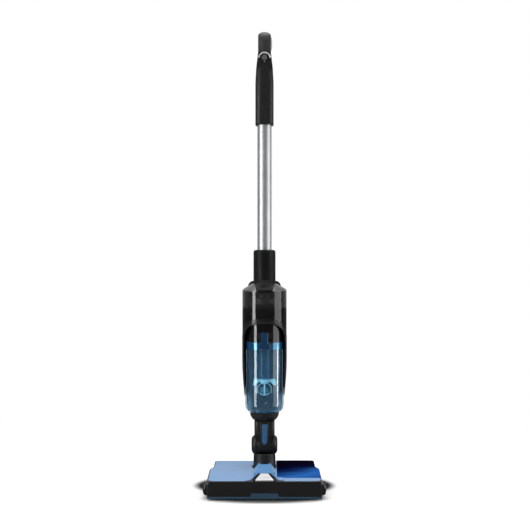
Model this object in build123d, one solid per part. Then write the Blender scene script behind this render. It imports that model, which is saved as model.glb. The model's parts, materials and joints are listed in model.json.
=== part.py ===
from build123d import *
import math
import os

os.makedirs("parts", exist_ok=True)

# Driving dimensions, in millimetres. Z is up, the front faces -Y, Z = 0 is the floor.
HEAD_HALF_WIDTH = 140.0
HEAD_HALF_DEPTH = 100.0
HEAD_REAR_HALF_WIDTH = 131.0
HEAD_TOP_FRONT = 46.0
HEAD_TOP_REAR = 51.0
HEAD_WALL = 2.5
BASE_BOTTOM = 5.0
BASE_TOP = 42.0

ROLLER_Y = -66.0
ROLLER_Z = 20.3
ROLLER_RADIUS = 20.0
ROLLER_CORE_RADIUS = 14.0
ROLLER_HALF_LENGTH = 119.0
MOTOR_Y = 2.0
MOTOR_Z = 26.0
ROLLER_PULLEY_RADIUS = 10.0
MOTOR_PULLEY_RADIUS = 6.0
PULLEY_OUTER_X = -132.0
PULLEY_INNER_X = -127.6
STUB_RADIUS = 5.0
CHAMBER_HALF_WIDTH = 121.0

WHEEL_RADIUS = 18.0
WHEEL_Y = 78.0
WHEEL_X = 118.0
WHEEL_WIDTH = 18.0

STICK_Y = 40.0
TURRET_RADIUS = 28.5
PITCH_Z = 106.0
BARREL_RADIUS = 24.0
BARREL_HALF_WIDTH = 20.0
CHEEK_HALF_WIDTH = 33.5
NECK_HALF_WIDTH = 26.0
NECK_TOP = 170.0

TANK_RIM = 374.0
TANK_RADIUS = 49.3
TANK_BACK_Y = 60.0
TANK_WALL = 2.2
TAPER_TOP = 246.0
BODY_RADIUS = 57.0
BODY_TOP = 503.0
BODY_BACK_Y = 98.0
SHELL_WALL = 2.5
ARCH_TOP = 421.0
ARCH_BAND = 13.0
ARCH_SPRING = 352.0
BORDER_SPRING = 328.0
ARCH_POWER = 3.5
SHOULDER_TOP = 522.0

COLLAR_RADIUS = 28.5
COLLAR_TOP = 609.0
TUBE_RADIUS = 18.25
TUBE_WALL = 1.5
SLEEVE_BOTTOM = 931.0
SLEEVE_TOP = 1076.0
SLEEVE_HALF_WIDTH = 23.5
HANDLE_TOP = 1174.0
GRIP_HALF_WIDTH = 16.4

RUNNING = 0.05
CLEAR = 0.4


def block(x0, x1, y0, y1, z0, z1):
    """Box between two corners."""
    centre = ((x0 + x1) / 2, (y0 + y1) / 2, (z0 + z1) / 2)
    return Pos(*centre) * Box(abs(x1 - x0), abs(y1 - y0), abs(z1 - z0))


def round_block(x0, x1, y0, y1, z0, z1, radius):
    """Box with its upright edges rounded."""
    solid = block(x0, x1, y0, y1, z0, z1)
    return fillet(solid.edges().filter_by(Axis.Z), radius)


def rod_z(radius, z0, z1, x=0.0, y=0.0):
    """Upright cylinder."""
    return Pos(x, y, (z0 + z1) / 2) * Cylinder(radius, z1 - z0)


def rod_x(radius, x0, x1, y, z):
    """Cylinder along X."""
    return Pos((x0 + x1) / 2, y, z) * Rot(0, 90, 0) * Cylinder(radius, x1 - x0)


def rod_y(radius, y0, y1, x, z):
    """Cylinder along Y."""
    return Pos(x, (y0 + y1) / 2, z) * Rot(90, 0, 0) * Cylinder(radius, y1 - y0)


def turned(points, x=0.0, y=0.0):
    """Solid of revolution about an upright axis, from its (radius, height) outline."""
    face = make_face(Polyline(*[(r, 0, z) for r, z in points], close=True))
    return Pos(x, y, 0) * revolve(face, Axis.Z)


def side_prism(points, x0, x1):
    """Outline of (y, z) points extruded along X."""
    face = make_face(Polyline(*[(x0, y, z) for y, z in points], close=True))
    return extrude(face, x1 - x0, dir=(1, 0, 0))


def front_prism(points, y0, y1):
    """Outline of (x, z) points extruded along Y."""
    face = make_face(Polyline(*[(x, y0, z) for x, z in points], close=True))
    return extrude(face, y1 - y0, dir=(0, 1, 0))


def plan_prism(points, z0, z1):
    """Outline of (x, y) points extruded up Z."""
    face = make_face(Polyline(*[(x, y, z0) for x, y in points], close=True))
    return extrude(face, z1 - z0, dir=(0, 0, 1))


def both_sides(solid):
    """A solid and its mirror image in the YZ plane."""
    return [solid, mirror(solid, Plane.YZ)]


def save(shape, name):
    """Write one node."""
    export_step(shape, f"parts/{name}.step")


def group(solids):
    """Separate solids kept in one node."""
    return Compound(children=list(solids))


# Head

COVER_FRONT_Y = -93.0
TANK_FRONT_Y = -66.5
TANK_LEFT_X = 31.5
PARTITION_Y = -39.5
TONGUE_BACK_Y = -27.0
TONGUE_FRONT_HALF = 34.0
TONGUE_BACK_HALF = 15.0
TONGUE_BOTTOM = 42.4
FRONT_CORNER = 12.0
RIM_WIDTH = 2.4
HUMP_TOP = 65.0
BUSH_RADIUS = 8.5
TOP_SLOPE = (HEAD_TOP_REAR - HEAD_TOP_FRONT) / (2 * HEAD_HALF_DEPTH)


def head_outline(front_y, back_y, z0, z1, inset=0.0):
    """Plan of the head: full width with rounded corners in front, drawn in behind the shoulder."""
    wide = HEAD_HALF_WIDTH - inset
    narrow = HEAD_REAR_HALF_WIDTH - inset
    half = [
        (wide - FRONT_CORNER, front_y),
        (wide - FRONT_CORNER * 0.5, front_y + FRONT_CORNER * 0.13),
        (wide - FRONT_CORNER * 0.13, front_y + FRONT_CORNER * 0.5),
        (wide, front_y + FRONT_CORNER),
        (wide, 10),
        (wide - 1.2, 16),
        (narrow + 1.2, 32),
        (narrow, 38),
        (narrow, back_y - 8),
        (narrow - 2.4, back_y - 2.4),
        (narrow - 8, back_y),
    ]
    mirrored = [(-x, y) for x, y in reversed(half)]
    return plan_prism(half + mirrored, z0, z1)


def under_top(drop=0.0):
    """Everything below the head's gently rising top surface."""
    reach = HEAD_HALF_DEPTH + 20
    low = HEAD_TOP_FRONT - drop - TOP_SLOPE * 20
    high = HEAD_TOP_REAR - drop + TOP_SLOPE * 20
    outline = [(-reach, 0), (reach, 0), (reach, high), (-reach, low)]
    return side_prism(outline, -HEAD_HALF_WIDTH - 20, HEAD_HALF_WIDTH + 20)


def tongue_plan(z0, z1, grow=0.0):
    """Flared plan of the black tongue that reaches back into the cover."""
    half = [
        (TONGUE_FRONT_HALF + 14 + grow, COVER_FRONT_Y - 0.1),
        (TONGUE_FRONT_HALF + grow, COVER_FRONT_Y + 4 + grow),
        (TONGUE_BACK_HALF + grow, TONGUE_BACK_Y + grow),
    ]
    mirrored = [(-x, y) for x, y in reversed(half)]
    return plan_prism(half + mirrored, z0, z1)


def badge_plan(z0, z1, shrink=0.0):
    """Plan of the trapezoid latch on the tongue."""
    half = [
        (23 - shrink, COVER_FRONT_Y + shrink + 1.5),
        (10 - shrink, TONGUE_BACK_Y - 7 - shrink),
    ]
    mirrored = [(-x, y) for x, y in reversed(half)]
    return plan_prism(half + mirrored, z0, z1)


def wheel_well(side):
    """Space for one rear wheel, open below and behind."""
    half = WHEEL_WIDTH / 2 + 1.5
    return block(side * WHEEL_X - half, side * WHEEL_X + half, WHEEL_Y - 20, 101, 0, 39)


def head_base():
    tray = head_outline(-91.5, 98, BASE_BOTTOM, BASE_TOP)
    inside = head_outline(-91.5, 95, 8, BASE_TOP + 1, 3.0)
    inner = inside & block(-134, 134, PARTITION_Y + 3, 95, 8, BASE_TOP + 1)
    chamber = block(-CHAMBER_HALF_WIDTH, CHAMBER_HALF_WIDTH, -95, PARTITION_Y, 0, BASE_TOP + 1)
    belt_bay = block(-134, -126, -90, PARTITION_Y + 4, 8, BASE_TOP + 1)
    tank_exit = block(TANK_LEFT_X - 0.5, 145, PARTITION_Y + 3, 56, 8, BASE_TOP + 1)
    slot = block(-24, 24, PARTITION_Y - 1, PARTITION_Y + 4, 8, 20)
    squeegee_gap = block(-121, 121, PARTITION_Y - 0.1, PARTITION_Y + 2.1, 0, 8.5)
    bush_seats = rod_x(BUSH_RADIUS, -130, 128, ROLLER_Y, ROLLER_Z)
    tray = tray - inner - chamber - belt_bay - tank_exit - slot - squeegee_gap - bush_seats
    for side in (-1, 1):
        well = wheel_well(side)
        half = WHEEL_WIDTH / 2 + 3.5
        x_mid = side * WHEEL_X
        housing = block(x_mid - half, x_mid + half, WHEEL_Y - 22, 97, 8, 41)
        tray = tray + (housing & head_outline(-91.5, 98, 8, 41)) - well
        tray = tray - rod_x(2.5, x_mid - half - 1, x_mid + half + 1, WHEEL_Y, WHEEL_RADIUS + 0.3)
    collar = rod_z(33, 8, 12, 0, STICK_Y)
    rim = head_outline(-91.5, 98, BASE_TOP, 60) - head_outline(-91.5, 98 - RIM_WIDTH, 40, 61, RIM_WIDTH)
    rim = rim & under_top(0.8) & block(-150, TANK_LEFT_X - 2, -77, 110, 40, 61)
    return tray + collar + rim


def head_top_cover():
    edge = RIM_WIDTH + 0.2
    outer = head_outline(COVER_FRONT_Y, 98 - edge, BASE_TOP, HEAD_TOP_REAR + 2, edge) & under_top()
    outer = outer + hump()
    roof = under_top(HEAD_WALL)
    inside = head_outline(COVER_FRONT_Y, 95.6 - HEAD_WALL, BASE_TOP - 1, 60, edge + HEAD_WALL) & roof
    left_pocket = inside & block(-150, TANK_LEFT_X - 3, PARTITION_Y, 110, BASE_TOP - 1, 60)
    roller_pocket = block(-125, 125, COVER_FRONT_Y + 2.5, PARTITION_Y - 2.5, BASE_TOP - 1, 60) & roof
    tank_space = block(TANK_LEFT_X - CLEAR, 145, TANK_FRONT_Y - CLEAR, 101, BASE_TOP - 1, 60)
    turret_hole = rod_z(33.2, 30, 50.6, 0, STICK_Y) + rod_z(TURRET_RADIUS + 0.7, 30, 80, 0, STICK_Y)
    for side in (-1, 1):
        ridge = [(side * x, y) for x, y in ((17, -22), (30, -22), (48, -84), (36, -92))]
        outer = outer + (plan_prism(ridge, BASE_TOP + 2, 60) & under_top(-1.2))
    cover = outer - left_pocket - roller_pocket - tank_space - turret_hole
    return cover - tongue_plan(BASE_TOP - 1, 60, CLEAR)


def hump():
    """Ramp that climbs from the tongue to the turret, with sloping flanks."""
    rear_y = STICK_Y - 20
    front_y = TONGUE_BACK_Y
    rear = [(-28, 47), (28, 47), (14.5, HUMP_TOP), (-14.5, HUMP_TOP)]
    front = [(-34, 44), (34, 44), (22, 48.2), (-22, 48.2)]
    faces = [
        make_face(Polyline(*[(x, y, z) for x, z in outline], close=True))
        for outline, y in ((rear, rear_y), (front, front_y))
    ]
    return loft(faces)


def roller_cover():
    wall = block(-HEAD_HALF_WIDTH, HEAD_HALF_WIDTH, -100, COVER_FRONT_Y - 0.2, 10, HEAD_TOP_FRONT)
    corners = wall.edges().filter_by(Axis.Z).group_by(Axis.Y)[0]
    wall = fillet(corners, 5)
    wall = chamfer(wall.edges().filter_by(Axis.X).group_by(Axis.Z)[-1][:1], 1.2)
    lip_notch = front_prism([(-37, 9), (37, 9), (32, 18.4), (-32, 18.4)], -101, -92)
    tongue = tongue_plan(TONGUE_BOTTOM, 60) & under_top(-0.4)
    reach = TONGUE_FRONT_HALF
    link = block(-reach, reach, -95, COVER_FRONT_Y + 1, TONGUE_BOTTOM, HEAD_TOP_FRONT)
    corner = block(124, HEAD_HALF_WIDTH, COVER_FRONT_Y - 0.3, -77.6, TONGUE_BOTTOM, HEAD_TOP_FRONT)
    corner = corner - head_outline(COVER_FRONT_Y, 90, 40, 60, RIM_WIDTH + 0.2 - CLEAR)
    for side_corner in both_sides(corner):
        wall = wall + side_corner
    return wall - lip_notch + tongue + link - badge_plan(TONGUE_BOTTOM + 1.8, 60)


def cover_latch():
    plate = badge_plan(TONGUE_BOTTOM + 4, 60, CLEAR) & under_top(-2.2)
    top = plate.faces().sort_by(Axis.Z)[-1]
    return chamfer(top.edges(), 0.8)


def front_lip():
    strip = block(-139, 139, -99.5, -94.5, 3.5, 9.6)
    crest = front_prism([(-36.5, 9), (36.5, 9), (31.5, 18), (-31.5, 18)], -99.5, -94.5)
    feet = [block(side * 126, side * 138.5, -95, -91.5, 5, 9.6) for side in (-1, 1)]
    return strip + crest + feet[0] + feet[1]


def clean_water_tank():
    skin = 1.7
    plan = head_outline(-110, 98, 5, 60, 0.3)
    hollow_plan = head_outline(-110, 98 - skin, 5, 60, 0.3 + skin)
    shelf = plan & block(TANK_LEFT_X, 150, TANK_FRONT_Y, 110, 42.4, 60) & under_top(-0.3)
    deep = plan & block(TANK_LEFT_X + 3, 138, PARTITION_Y + 3.6, 53, 10.5, 43)
    shelf_hollow = block(TANK_LEFT_X + 4.6, 150, TANK_FRONT_Y + skin, 110, 42.4 + skin, 60)
    shelf_hollow = shelf_hollow & hollow_plan & under_top(skin - 0.3)
    deep_hollow = hollow_plan & block(TANK_LEFT_X + 5.2, 136, PARTITION_Y + 5.8, 50.8, 12.7, 45)
    ring_room = rod_z(33.8, 40, 60, 0, STICK_Y)
    mouth = rod_z(12, 10, 14, 80, 10)
    return shelf + deep - shelf_hollow - deep_hollow - mouth - ring_room


def water_tank_cap():
    """Quarter-turn cap with its spring valve in the middle."""
    flange = rod_z(15, 8.8, 10.2, 80, 10)
    plug = rod_z(11.9, 10.2, 14.5, 80, 10)
    valve = rod_z(5.5, 14.5, 16.4, 80, 10)
    notches = [rod_z(1.6, 8, 10.1, 80 + 14 * math.cos(a), 10 + 14 * math.sin(a)) for a in (0, math.pi)]
    return flange + plug + valve - notches[0] - notches[1]


def roller_core():
    core = rod_x(ROLLER_CORE_RADIUS, -ROLLER_HALF_LENGTH, ROLLER_HALF_LENGTH, ROLLER_Y, ROLLER_Z)
    bore = rod_x(5, -ROLLER_HALF_LENGTH + 6, ROLLER_HALF_LENGTH - 6, ROLLER_Y, ROLLER_Z)
    left_stub = rod_x(STUB_RADIUS, PULLEY_OUTER_X, -ROLLER_HALF_LENGTH, ROLLER_Y, ROLLER_Z)
    right_stub = rod_x(STUB_RADIUS, ROLLER_HALF_LENGTH, 127, ROLLER_Y, ROLLER_Z)
    return core - bore + left_stub + right_stub + pulley(ROLLER_PULLEY_RADIUS, ROLLER_Y, ROLLER_Z)


def roller_sleeve():
    sleeve = rod_x(ROLLER_RADIUS, -117, 117, ROLLER_Y, ROLLER_Z)
    return sleeve - rod_x(ROLLER_CORE_RADIUS, -118, 118, ROLLER_Y, ROLLER_Z)


def pulley(radius, y, z):
    """Belt wheel with a flange on its inner side."""
    wheel = rod_x(radius, PULLEY_OUTER_X, PULLEY_INNER_X, y, z)
    return wheel + rod_x(radius + 1.6, PULLEY_INNER_X, PULLEY_INNER_X + 1, y, z)


def motor_pulley():
    """Small pulley with the motor's shaft in it."""
    shaft = rod_x(2.5, PULLEY_OUTER_X, -104, MOTOR_Y, MOTOR_Z)
    return pulley(MOTOR_PULLEY_RADIUS, MOTOR_Y, MOTOR_Z) + shaft


def belt_loop(grow, x0, x1):
    """Space swept by an open belt round both pulleys, grown by a thickness."""
    r_big = ROLLER_PULLEY_RADIUS + grow
    r_small = MOTOR_PULLEY_RADIUS + grow
    dy = MOTOR_Y - ROLLER_Y
    dz = MOTOR_Z - ROLLER_Z
    span = math.hypot(dy, dz)
    tilt = math.atan2(dz, dy)
    spread = math.acos((r_big - r_small) / span)
    corners = []
    for turn, y, z, radius in (
        (spread, ROLLER_Y, ROLLER_Z, r_big),
        (spread, MOTOR_Y, MOTOR_Z, r_small),
        (-spread, MOTOR_Y, MOTOR_Z, r_small),
        (-spread, ROLLER_Y, ROLLER_Z, r_big),
    ):
        angle = tilt + turn
        corners.append((y + radius * math.cos(angle), z + radius * math.sin(angle)))
    flat = side_prism(corners, x0, x1)
    return flat + rod_x(r_big, x0, x1, ROLLER_Y, ROLLER_Z) + rod_x(r_small, x0, x1, MOTOR_Y, MOTOR_Z)


def drive_belt():
    x0 = PULLEY_OUTER_X + 0.2
    x1 = PULLEY_INNER_X - 0.2
    return belt_loop(1.5, x0, x1) - belt_loop(0.12, x0 - 1, x1 + 1)


def roller_bushes():
    ring = rod_x(BUSH_RADIUS, CHAMBER_HALF_WIDTH, 126, ROLLER_Y, ROLLER_Z)
    ring = ring - rod_x(STUB_RADIUS + RUNNING, CHAMBER_HALF_WIDTH - 1, 127, ROLLER_Y, ROLLER_Z)
    return group(both_sides(ring))


def roller_end_caps():
    dome = rod_x(17, HEAD_HALF_WIDTH, HEAD_HALF_WIDTH + 11, ROLLER_Y, ROLLER_Z + 1)
    rim = dome.edges().sort_by(Axis.X)[-1]
    dome = fillet(rim, 7)
    dome = dome - rod_x(10, HEAD_HALF_WIDTH - 1, HEAD_HALF_WIDTH + 4, ROLLER_Y, ROLLER_Z + 1)
    return group(both_sides(dome))


def brush_motor():
    can = rod_x(15, -118, -66, MOTOR_Y, MOTOR_Z)
    can = chamfer(can.edges(), 1.2)
    nose = rod_x(6, -122, -118, MOTOR_Y, MOTOR_Z)
    bore = rod_x(2.5 + RUNNING, -123, -100, MOTOR_Y, MOTOR_Z)
    foot = block(-112, -72, MOTOR_Y - 11, MOTOR_Y + 11, 8, 14)
    return can + nose + foot - bore


def water_pump():
    body = round_block(-101, -73, 40, 78, 8, 34, 4)
    outlet = rod_y(3, 34, 40, -87, 24)
    inlet = rod_x(3, -73, -67, 59, 24)
    return body + outlet + inlet


def spray_bar():
    bar_y = COVER_FRONT_Y + HEAD_WALL + 2.2
    bar = rod_x(2.2, -112, 112, bar_y, 39.6)
    for step in range(-6, 7):
        bar = bar + rod_z(1.2, 36.5, 39, 17 * step, bar_y)
    return bar


def suction_duct():
    profile = [
        (PARTITION_Y + 3, 8.4),
        (STICK_Y + 20, 12.2),
        (STICK_Y + 20, 36.4),
        (STICK_Y - 20, 36.4),
        (STICK_Y - 24, 26),
        (PARTITION_Y + 3, 22),
    ]
    inner = [
        (PARTITION_Y + 2, 10.4),
        (STICK_Y + 17.5, 14.4),
        (STICK_Y + 17.5, 37),
        (STICK_Y - 17, 37),
        (STICK_Y - 22, 24),
        (PARTITION_Y + 2, 20),
    ]
    duct = side_prism(profile, -22, 22) - side_prism(inner, -19.5, 19.5)
    return duct - block(-30, 30, 0, 70, 8, 12.1)


def squeegee_blade():
    blade = block(-120, 120, PARTITION_Y, PARTITION_Y + 2, 0, 8.4)
    return blade + block(-120, 120, PARTITION_Y - 2.5, PARTITION_Y, 3, 7)


def glide_pads():
    pads = []
    for x, y in ((-126, -52), (126, -52), (-60, 88), (60, 88)):
        pads.append(round_block(x - 7, x + 7, y - 5, y + 5, 0, BASE_BOTTOM, 3))
    return group(pads)


def rear_wheel(side):
    x0 = side * WHEEL_X - WHEEL_WIDTH / 2
    x1 = side * WHEEL_X + WHEEL_WIDTH / 2
    wheel = rod_x(WHEEL_RADIUS, x0, x1, WHEEL_Y, WHEEL_RADIUS + 0.3)
    wheel = fillet(wheel.edges(), 2.5)
    for x in (x0, x1):
        wheel = wheel - rod_x(11, x - 2, x + 2, WHEEL_Y, WHEEL_RADIUS + 0.3)
    return wheel - rod_x(2.5 + RUNNING, x0 - 1, x1 + 1, WHEEL_Y, WHEEL_RADIUS + 0.3)


def wheel_axles():
    half = WHEEL_WIDTH / 2 + 3.4
    axles = [
        rod_x(2.5, side * WHEEL_X - half, side * WHEEL_X + half, WHEEL_Y, WHEEL_RADIUS + 0.3)
        for side in (-1, 1)
    ]
    return group(axles)


def head_screws():
    places = ((-128, 20), (-70, 92), (20, 92), (10, -34))
    screws = []
    for x, y in places:
        head = rod_z(3.2, 3.2, BASE_BOTTOM, x, y)
        screws.append(head - block(x - 2.4, x + 2.4, y - 0.4, y + 0.4, 3, 4))
    return group(screws)


def save_head():
    save(head_base(), "head_base")
    save(head_top_cover(), "head_top_cover")
    save(roller_cover(), "roller_cover")
    save(cover_latch(), "cover_latch")
    save(front_lip(), "front_lip")
    save(clean_water_tank(), "clean_water_tank")
    save(water_tank_cap(), "water_tank_cap")
    save(roller_core(), "roller_core")
    save(roller_sleeve(), "roller_sleeve")
    save(motor_pulley(), "motor_pulley")
    save(drive_belt(), "drive_belt")
    save(brush_motor(), "brush_motor")
    save(water_pump(), "water_pump")
    save(spray_bar(), "spray_bar")
    save(suction_duct(), "suction_duct")
    save(squeegee_blade(), "squeegee_blade")
    save(glide_pads(), "glide_pads")
    save(roller_bushes(), "roller_bushes")
    save(roller_end_caps(), "roller_end_caps")
    save(wheel_axles(), "wheel_axles")
    save(head_screws(), "head_screws")
    for side, word in ((-1, "left"), (1, "right")):
        save(rear_wheel(side), f"rear_wheel_{word}")


# Neck

PIN_RADIUS = 6.0
NECK_FRONT = STICK_Y - 27
NECK_BACK = STICK_Y + 26
DUCT_RADIUS = 13.0


def swivel_ring():
    """Fixed ring in the head that carries the swivelling turret."""
    return turned([(29, 40), (33.2, 40), (33.2, 49.2), (32.4, 50), (29, 50)], 0, STICK_Y)


def turret():
    """Swivelling knuckle with two round cheeks for the pitch axis."""
    post = rod_z(TURRET_RADIUS, 37, 86, 0, STICK_Y)
    post = fillet(post.edges().sort_by(Axis.Z)[-1], 2.5)
    post = post - rod_x(BARREL_RADIUS + 3, -40, 40, STICK_Y, PITCH_Z)
    body = post + rod_z(31.5, 37, 39.7, 0, STICK_Y)
    inner = BARREL_HALF_WIDTH + 0.3
    cheek = rod_x(BARREL_RADIUS + 1, inner, CHEEK_HALF_WIDTH, STICK_Y, PITCH_Z)
    cheek = fillet(cheek.edges().sort_by(Axis.X)[-1], 12)
    web = block(inner, 27, STICK_Y - 15, STICK_Y + 15, 66, PITCH_Z)
    for ear in both_sides(cheek + web):
        body = body + ear
    duct = rod_z(17, 30, 100, 0, STICK_Y)
    axle = rod_x(PIN_RADIUS, -CHEEK_HALF_WIDTH + 6, CHEEK_HALF_WIDTH - 6, STICK_Y, PITCH_Z)
    return body - duct - axle


def pitch_pins():
    """Two steel pins pressed in the cheeks."""
    pin = rod_x(PIN_RADIUS, DUCT_RADIUS + 1.5, CHEEK_HALF_WIDTH - 6, STICK_Y, PITCH_Z)
    return group(both_sides(pin))


def button_outline(y0, y1, shrink):
    """Upright lozenge with a pointed lower end."""
    half = 7.2 - shrink
    top = 163.5 - shrink
    shoulder = 117.0
    tip = 110.5 + shrink * 1.4
    outline = [(-half, top), (half, top), (half, shoulder), (2.2, tip), (-2.2, tip), (-half, shoulder)]
    return front_prism(outline, y0, y1)


def neck_housing():
    barrel = rod_x(BARREL_RADIUS, -BARREL_HALF_WIDTH, BARREL_HALF_WIDTH, STICK_Y, PITCH_Z)
    middle = block(-BARREL_HALF_WIDTH, BARREL_HALF_WIDTH, STICK_Y - 22, STICK_Y + 21, PITCH_Z, 134)
    upper = round_block(-NECK_HALF_WIDTH, NECK_HALF_WIDTH, NECK_FRONT, NECK_BACK, 132.4, NECK_TOP, 10)
    nose = round_block(-11.5, 11.5, NECK_FRONT - 0.8, STICK_Y - 10, 106.5, 168, 3)
    body = barrel + middle + upper + nose
    pocket = button_outline(NECK_FRONT - 2, NECK_FRONT + 7, 0.0)
    duct = rod_z(DUCT_RADIUS, 78, NECK_TOP + 1, 0, STICK_Y + 4)
    axle = rod_x(PIN_RADIUS + RUNNING, -30, 30, STICK_Y, PITCH_Z)
    return body - pocket - duct - axle


def neck_button():
    button = button_outline(NECK_FRONT - 1.4, NECK_FRONT + 3.6, CLEAR)
    return chamfer(button.faces().sort_by(Axis.Y)[0].edges(), 0.9)


# Body

TANK_Y = 32.0
MOTOR_AXIS_Y = 26.0
BAY_FRONT = 69.0
SPINE_FRONT = 62.0
PIPE_Y = 77.0
PIPE_Z = 335.0


def body_plan(inset, z0, z1):
    """Plan of the body: a round front and a squarer back for the battery."""
    front = rod_z(BODY_RADIUS - inset, z0, z1, 0, STICK_Y)
    back = block(-50 + inset, 50 - inset, STICK_Y, BODY_BACK_Y - inset, z0, z1)
    back = fillet(back.edges().filter_by(Axis.Z).group_by(Axis.Y)[-1], 16 - inset)
    return front + back


def tank_plan(radius, back_y, z0, z1):
    """Plan of the dirty tank: a round front cut flat behind."""
    return rod_z(radius, z0, z1, 0, STICK_Y) & block(-60, 60, STICK_Y - 60, back_y, z0 - 1, z1 + 1)


def arched_prism(half, crown, spring, foot_half):
    """Flat-topped arch with straight sides below it, extruded front to back."""
    y0 = STICK_Y - 75
    points = []
    for step in range(17):
        angle = math.pi * step / 16
        across = math.copysign(abs(math.cos(angle)) ** (2 / ARCH_POWER), math.cos(angle))
        up = math.sin(angle) ** (2 / ARCH_POWER) if 0 < step < 16 else 0.0
        points.append((half * across, y0, spring + (crown - spring) * up))
    arc = Spline(*points, tangents=[(0, 0, 1), (0, 0, -1)])
    corners = [(-half, spring), (-foot_half, 150), (foot_half, 150), (half, spring)]
    sides = Polyline(*[(x, y0, z) for x, z in corners])
    return extrude(make_face([arc, sides]), 150, dir=(0, 1, 0))


def arch_window(grow):
    """Front opening of the body, which the dirty tank slides out through."""
    half = BODY_RADIUS - 4.5 + grow
    return arched_prism(half, ARCH_TOP + grow, ARCH_SPRING, half - 4.5)


def arch_border(grow):
    """Outer edge of the black band round the opening."""
    half = BODY_RADIUS + 3 + grow
    return arched_prism(half, ARCH_TOP + ARCH_BAND + grow, BORDER_SPRING, half)


def bowl_base():
    bowl = turned([(0, 170.2), (26, 170.2), (31, 173), (36, 181), (38, 191.6), (0, 191.6)], 0, STICK_Y)
    heel = side_prism([(60, 172), (66, 172), (91, 191.6), (60, 191.6)], -31, 31)
    duct = rod_z(DUCT_RADIUS, 160, 187, 0, STICK_Y + 4)
    rise = rod_z(8.2, 184, 200, 0, PIPE_Y - 8)
    link = block(-8, 8, STICK_Y + 4, PIPE_Y - 8, 178, 187)
    return bowl + heel - duct - rise - link


def body_shell_front():
    """Smoked front shell above the arch."""
    shell = body_plan(0, 345, BODY_TOP) - body_plan(SHELL_WALL, 344, BODY_TOP + 1)
    front_part = block(-70, 70, STICK_Y - 70, STICK_Y + 20, 340, BODY_TOP + 1)
    return (shell & front_part) - arch_border(0.1)


def rear_envelope(inset):
    """Outside of the back shell, drawn in towards its foot at the sides and behind."""
    taper = [(34, 180), (70, 180), (70, 330), (57.5, 330), (50, 250), (46, 216), (38, 191.8)]
    side_taper = front_prism([(x - inset, z) for x, z in taper], 0, 120)
    back = [(90, 180), (120, 180), (120, 262), (98.5, 242)]
    slant = side_prism([(y - inset, z) for y, z in back], -70, 70)
    solid = body_plan(inset, 191.8 + inset, BODY_TOP + inset) - slant
    for cut in both_sides(side_taper):
        solid = solid - cut
    return solid


def body_shell_rear():
    """Back shell: the spine behind the tank and the battery bay above it."""
    behind = block(-70, 70, STICK_Y + 20.1, 120, 180, BODY_TOP + 1)
    shell = (rear_envelope(0) - rear_envelope(SHELL_WALL)) & behind
    spine_wall = block(-70, 70, SPINE_FRONT, SPINE_FRONT + 2.5, 191, 401)
    bay_wall = block(-70, 70, BAY_FRONT - 2.5, BAY_FRONT, 400, BODY_TOP)
    bay_floor = block(-70, 70, SPINE_FRONT, 97, 354, 357)
    bridge = block(-70, 70, SPINE_FRONT, BAY_FRONT, 397.5, 400)
    shell = shell + ((spine_wall + bay_wall + bay_floor + bridge) & rear_envelope(1))
    grille_window = block(-26, 26, 92, 110, 268, 330)
    pipe_mouth = rod_y(9.2, SPINE_FRONT - 1, SPINE_FRONT + 4, 0, PIPE_Z)
    pipe_foot = rod_z(8.2, 190, 198, 0, PIPE_Y - 8)
    return shell - grille_window - pipe_mouth - pipe_foot


def arch_frame():
    """Black band round the tank opening, with the roof of the tank bay."""
    ring = rod_z(BODY_RADIUS + 0.6, 230, 440, 0, STICK_Y)
    ring = ring - rod_z(TANK_RADIUS + 1.2, 229, 441, 0, STICK_Y)
    ring = ring & block(-70, 70, STICK_Y - 70, STICK_Y + 20, 229, 441)
    half = [(50.9, 236), (54.6, 272), (57.0, 306), (57.6, 340), (57.6, 440)]
    mirrored = [(-x, z) for x, z in reversed(half)]
    outline = front_prism(half + mirrored, STICK_Y - 75, STICK_Y + 30)
    band = (ring & outline & arch_border(0)) - arch_window(0)
    roof = body_plan(SHELL_WALL + 0.1, 380, 440) & block(-70, 70, -40, SPINE_FRONT - 0.5, 379, 441)
    roof = (roof & arch_window(2.5)) - arch_window(0)
    roof = roof & block(-70, 70, -40, 120, 384, 441)
    outlet = rod_z(19, 380, 440, 0, MOTOR_AXIS_Y)
    return band + roof - outlet


SHOULDER_SLOPE = [(57, 505), (53, 509.5), (36, 519.5), (32, SHOULDER_TOP)]


def shoulder_cap():
    """Sloping glossy shoulder between the body and the tube collar."""
    inside = [(28.8, 522), (28.8, 518), (50, 505.5), (50, 503.2)]
    cone = turned([(57, 503.2)] + SHOULDER_SLOPE + inside, 0, STICK_Y)
    return cone & block(-70, 70, -40, BAY_FRONT - 0.4, 500, 530)


def suction_motor():
    can = rod_z(33, 450, 486, 0, MOTOR_AXIS_Y)
    can = fillet(can.edges().sort_by(Axis.Z)[-1], 4)
    cap = rod_z(16, 486, 497, 0, MOTOR_AXIS_Y)
    shaft_bore = rod_z(3 + RUNNING, 449, 475, 0, MOTOR_AXIS_Y)
    return can + cap - shaft_bore


def impeller():
    """Fan wheel on its shaft: a disc with swept blades."""
    disc = rod_z(31, 445, 447, 0, MOTOR_AXIS_Y)
    hub = rod_z(7, 434, 445, 0, MOTOR_AXIS_Y)
    shaft = rod_z(3, 440, 474, 0, MOTOR_AXIS_Y)
    wheel = disc + hub + shaft
    blade = Pos(0, 4, 0) * Rot(0, 0, -14) * block(6, 30, -0.8, 0.8, 435, 445)
    for step in range(9):
        wheel = wheel + Pos(0, MOTOR_AXIS_Y, 0) * Rot(0, 0, 40 * step) * blade
    return wheel


def motor_mount():
    """Rubber cup that carries the motor above the bay roof."""
    cup = rod_z(36, 425, 470, 0, MOTOR_AXIS_Y) - rod_z(33.2, 428, 471, 0, MOTOR_AXIS_Y)
    return cup - rod_z(19, 420, 430, 0, MOTOR_AXIS_Y)


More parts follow.
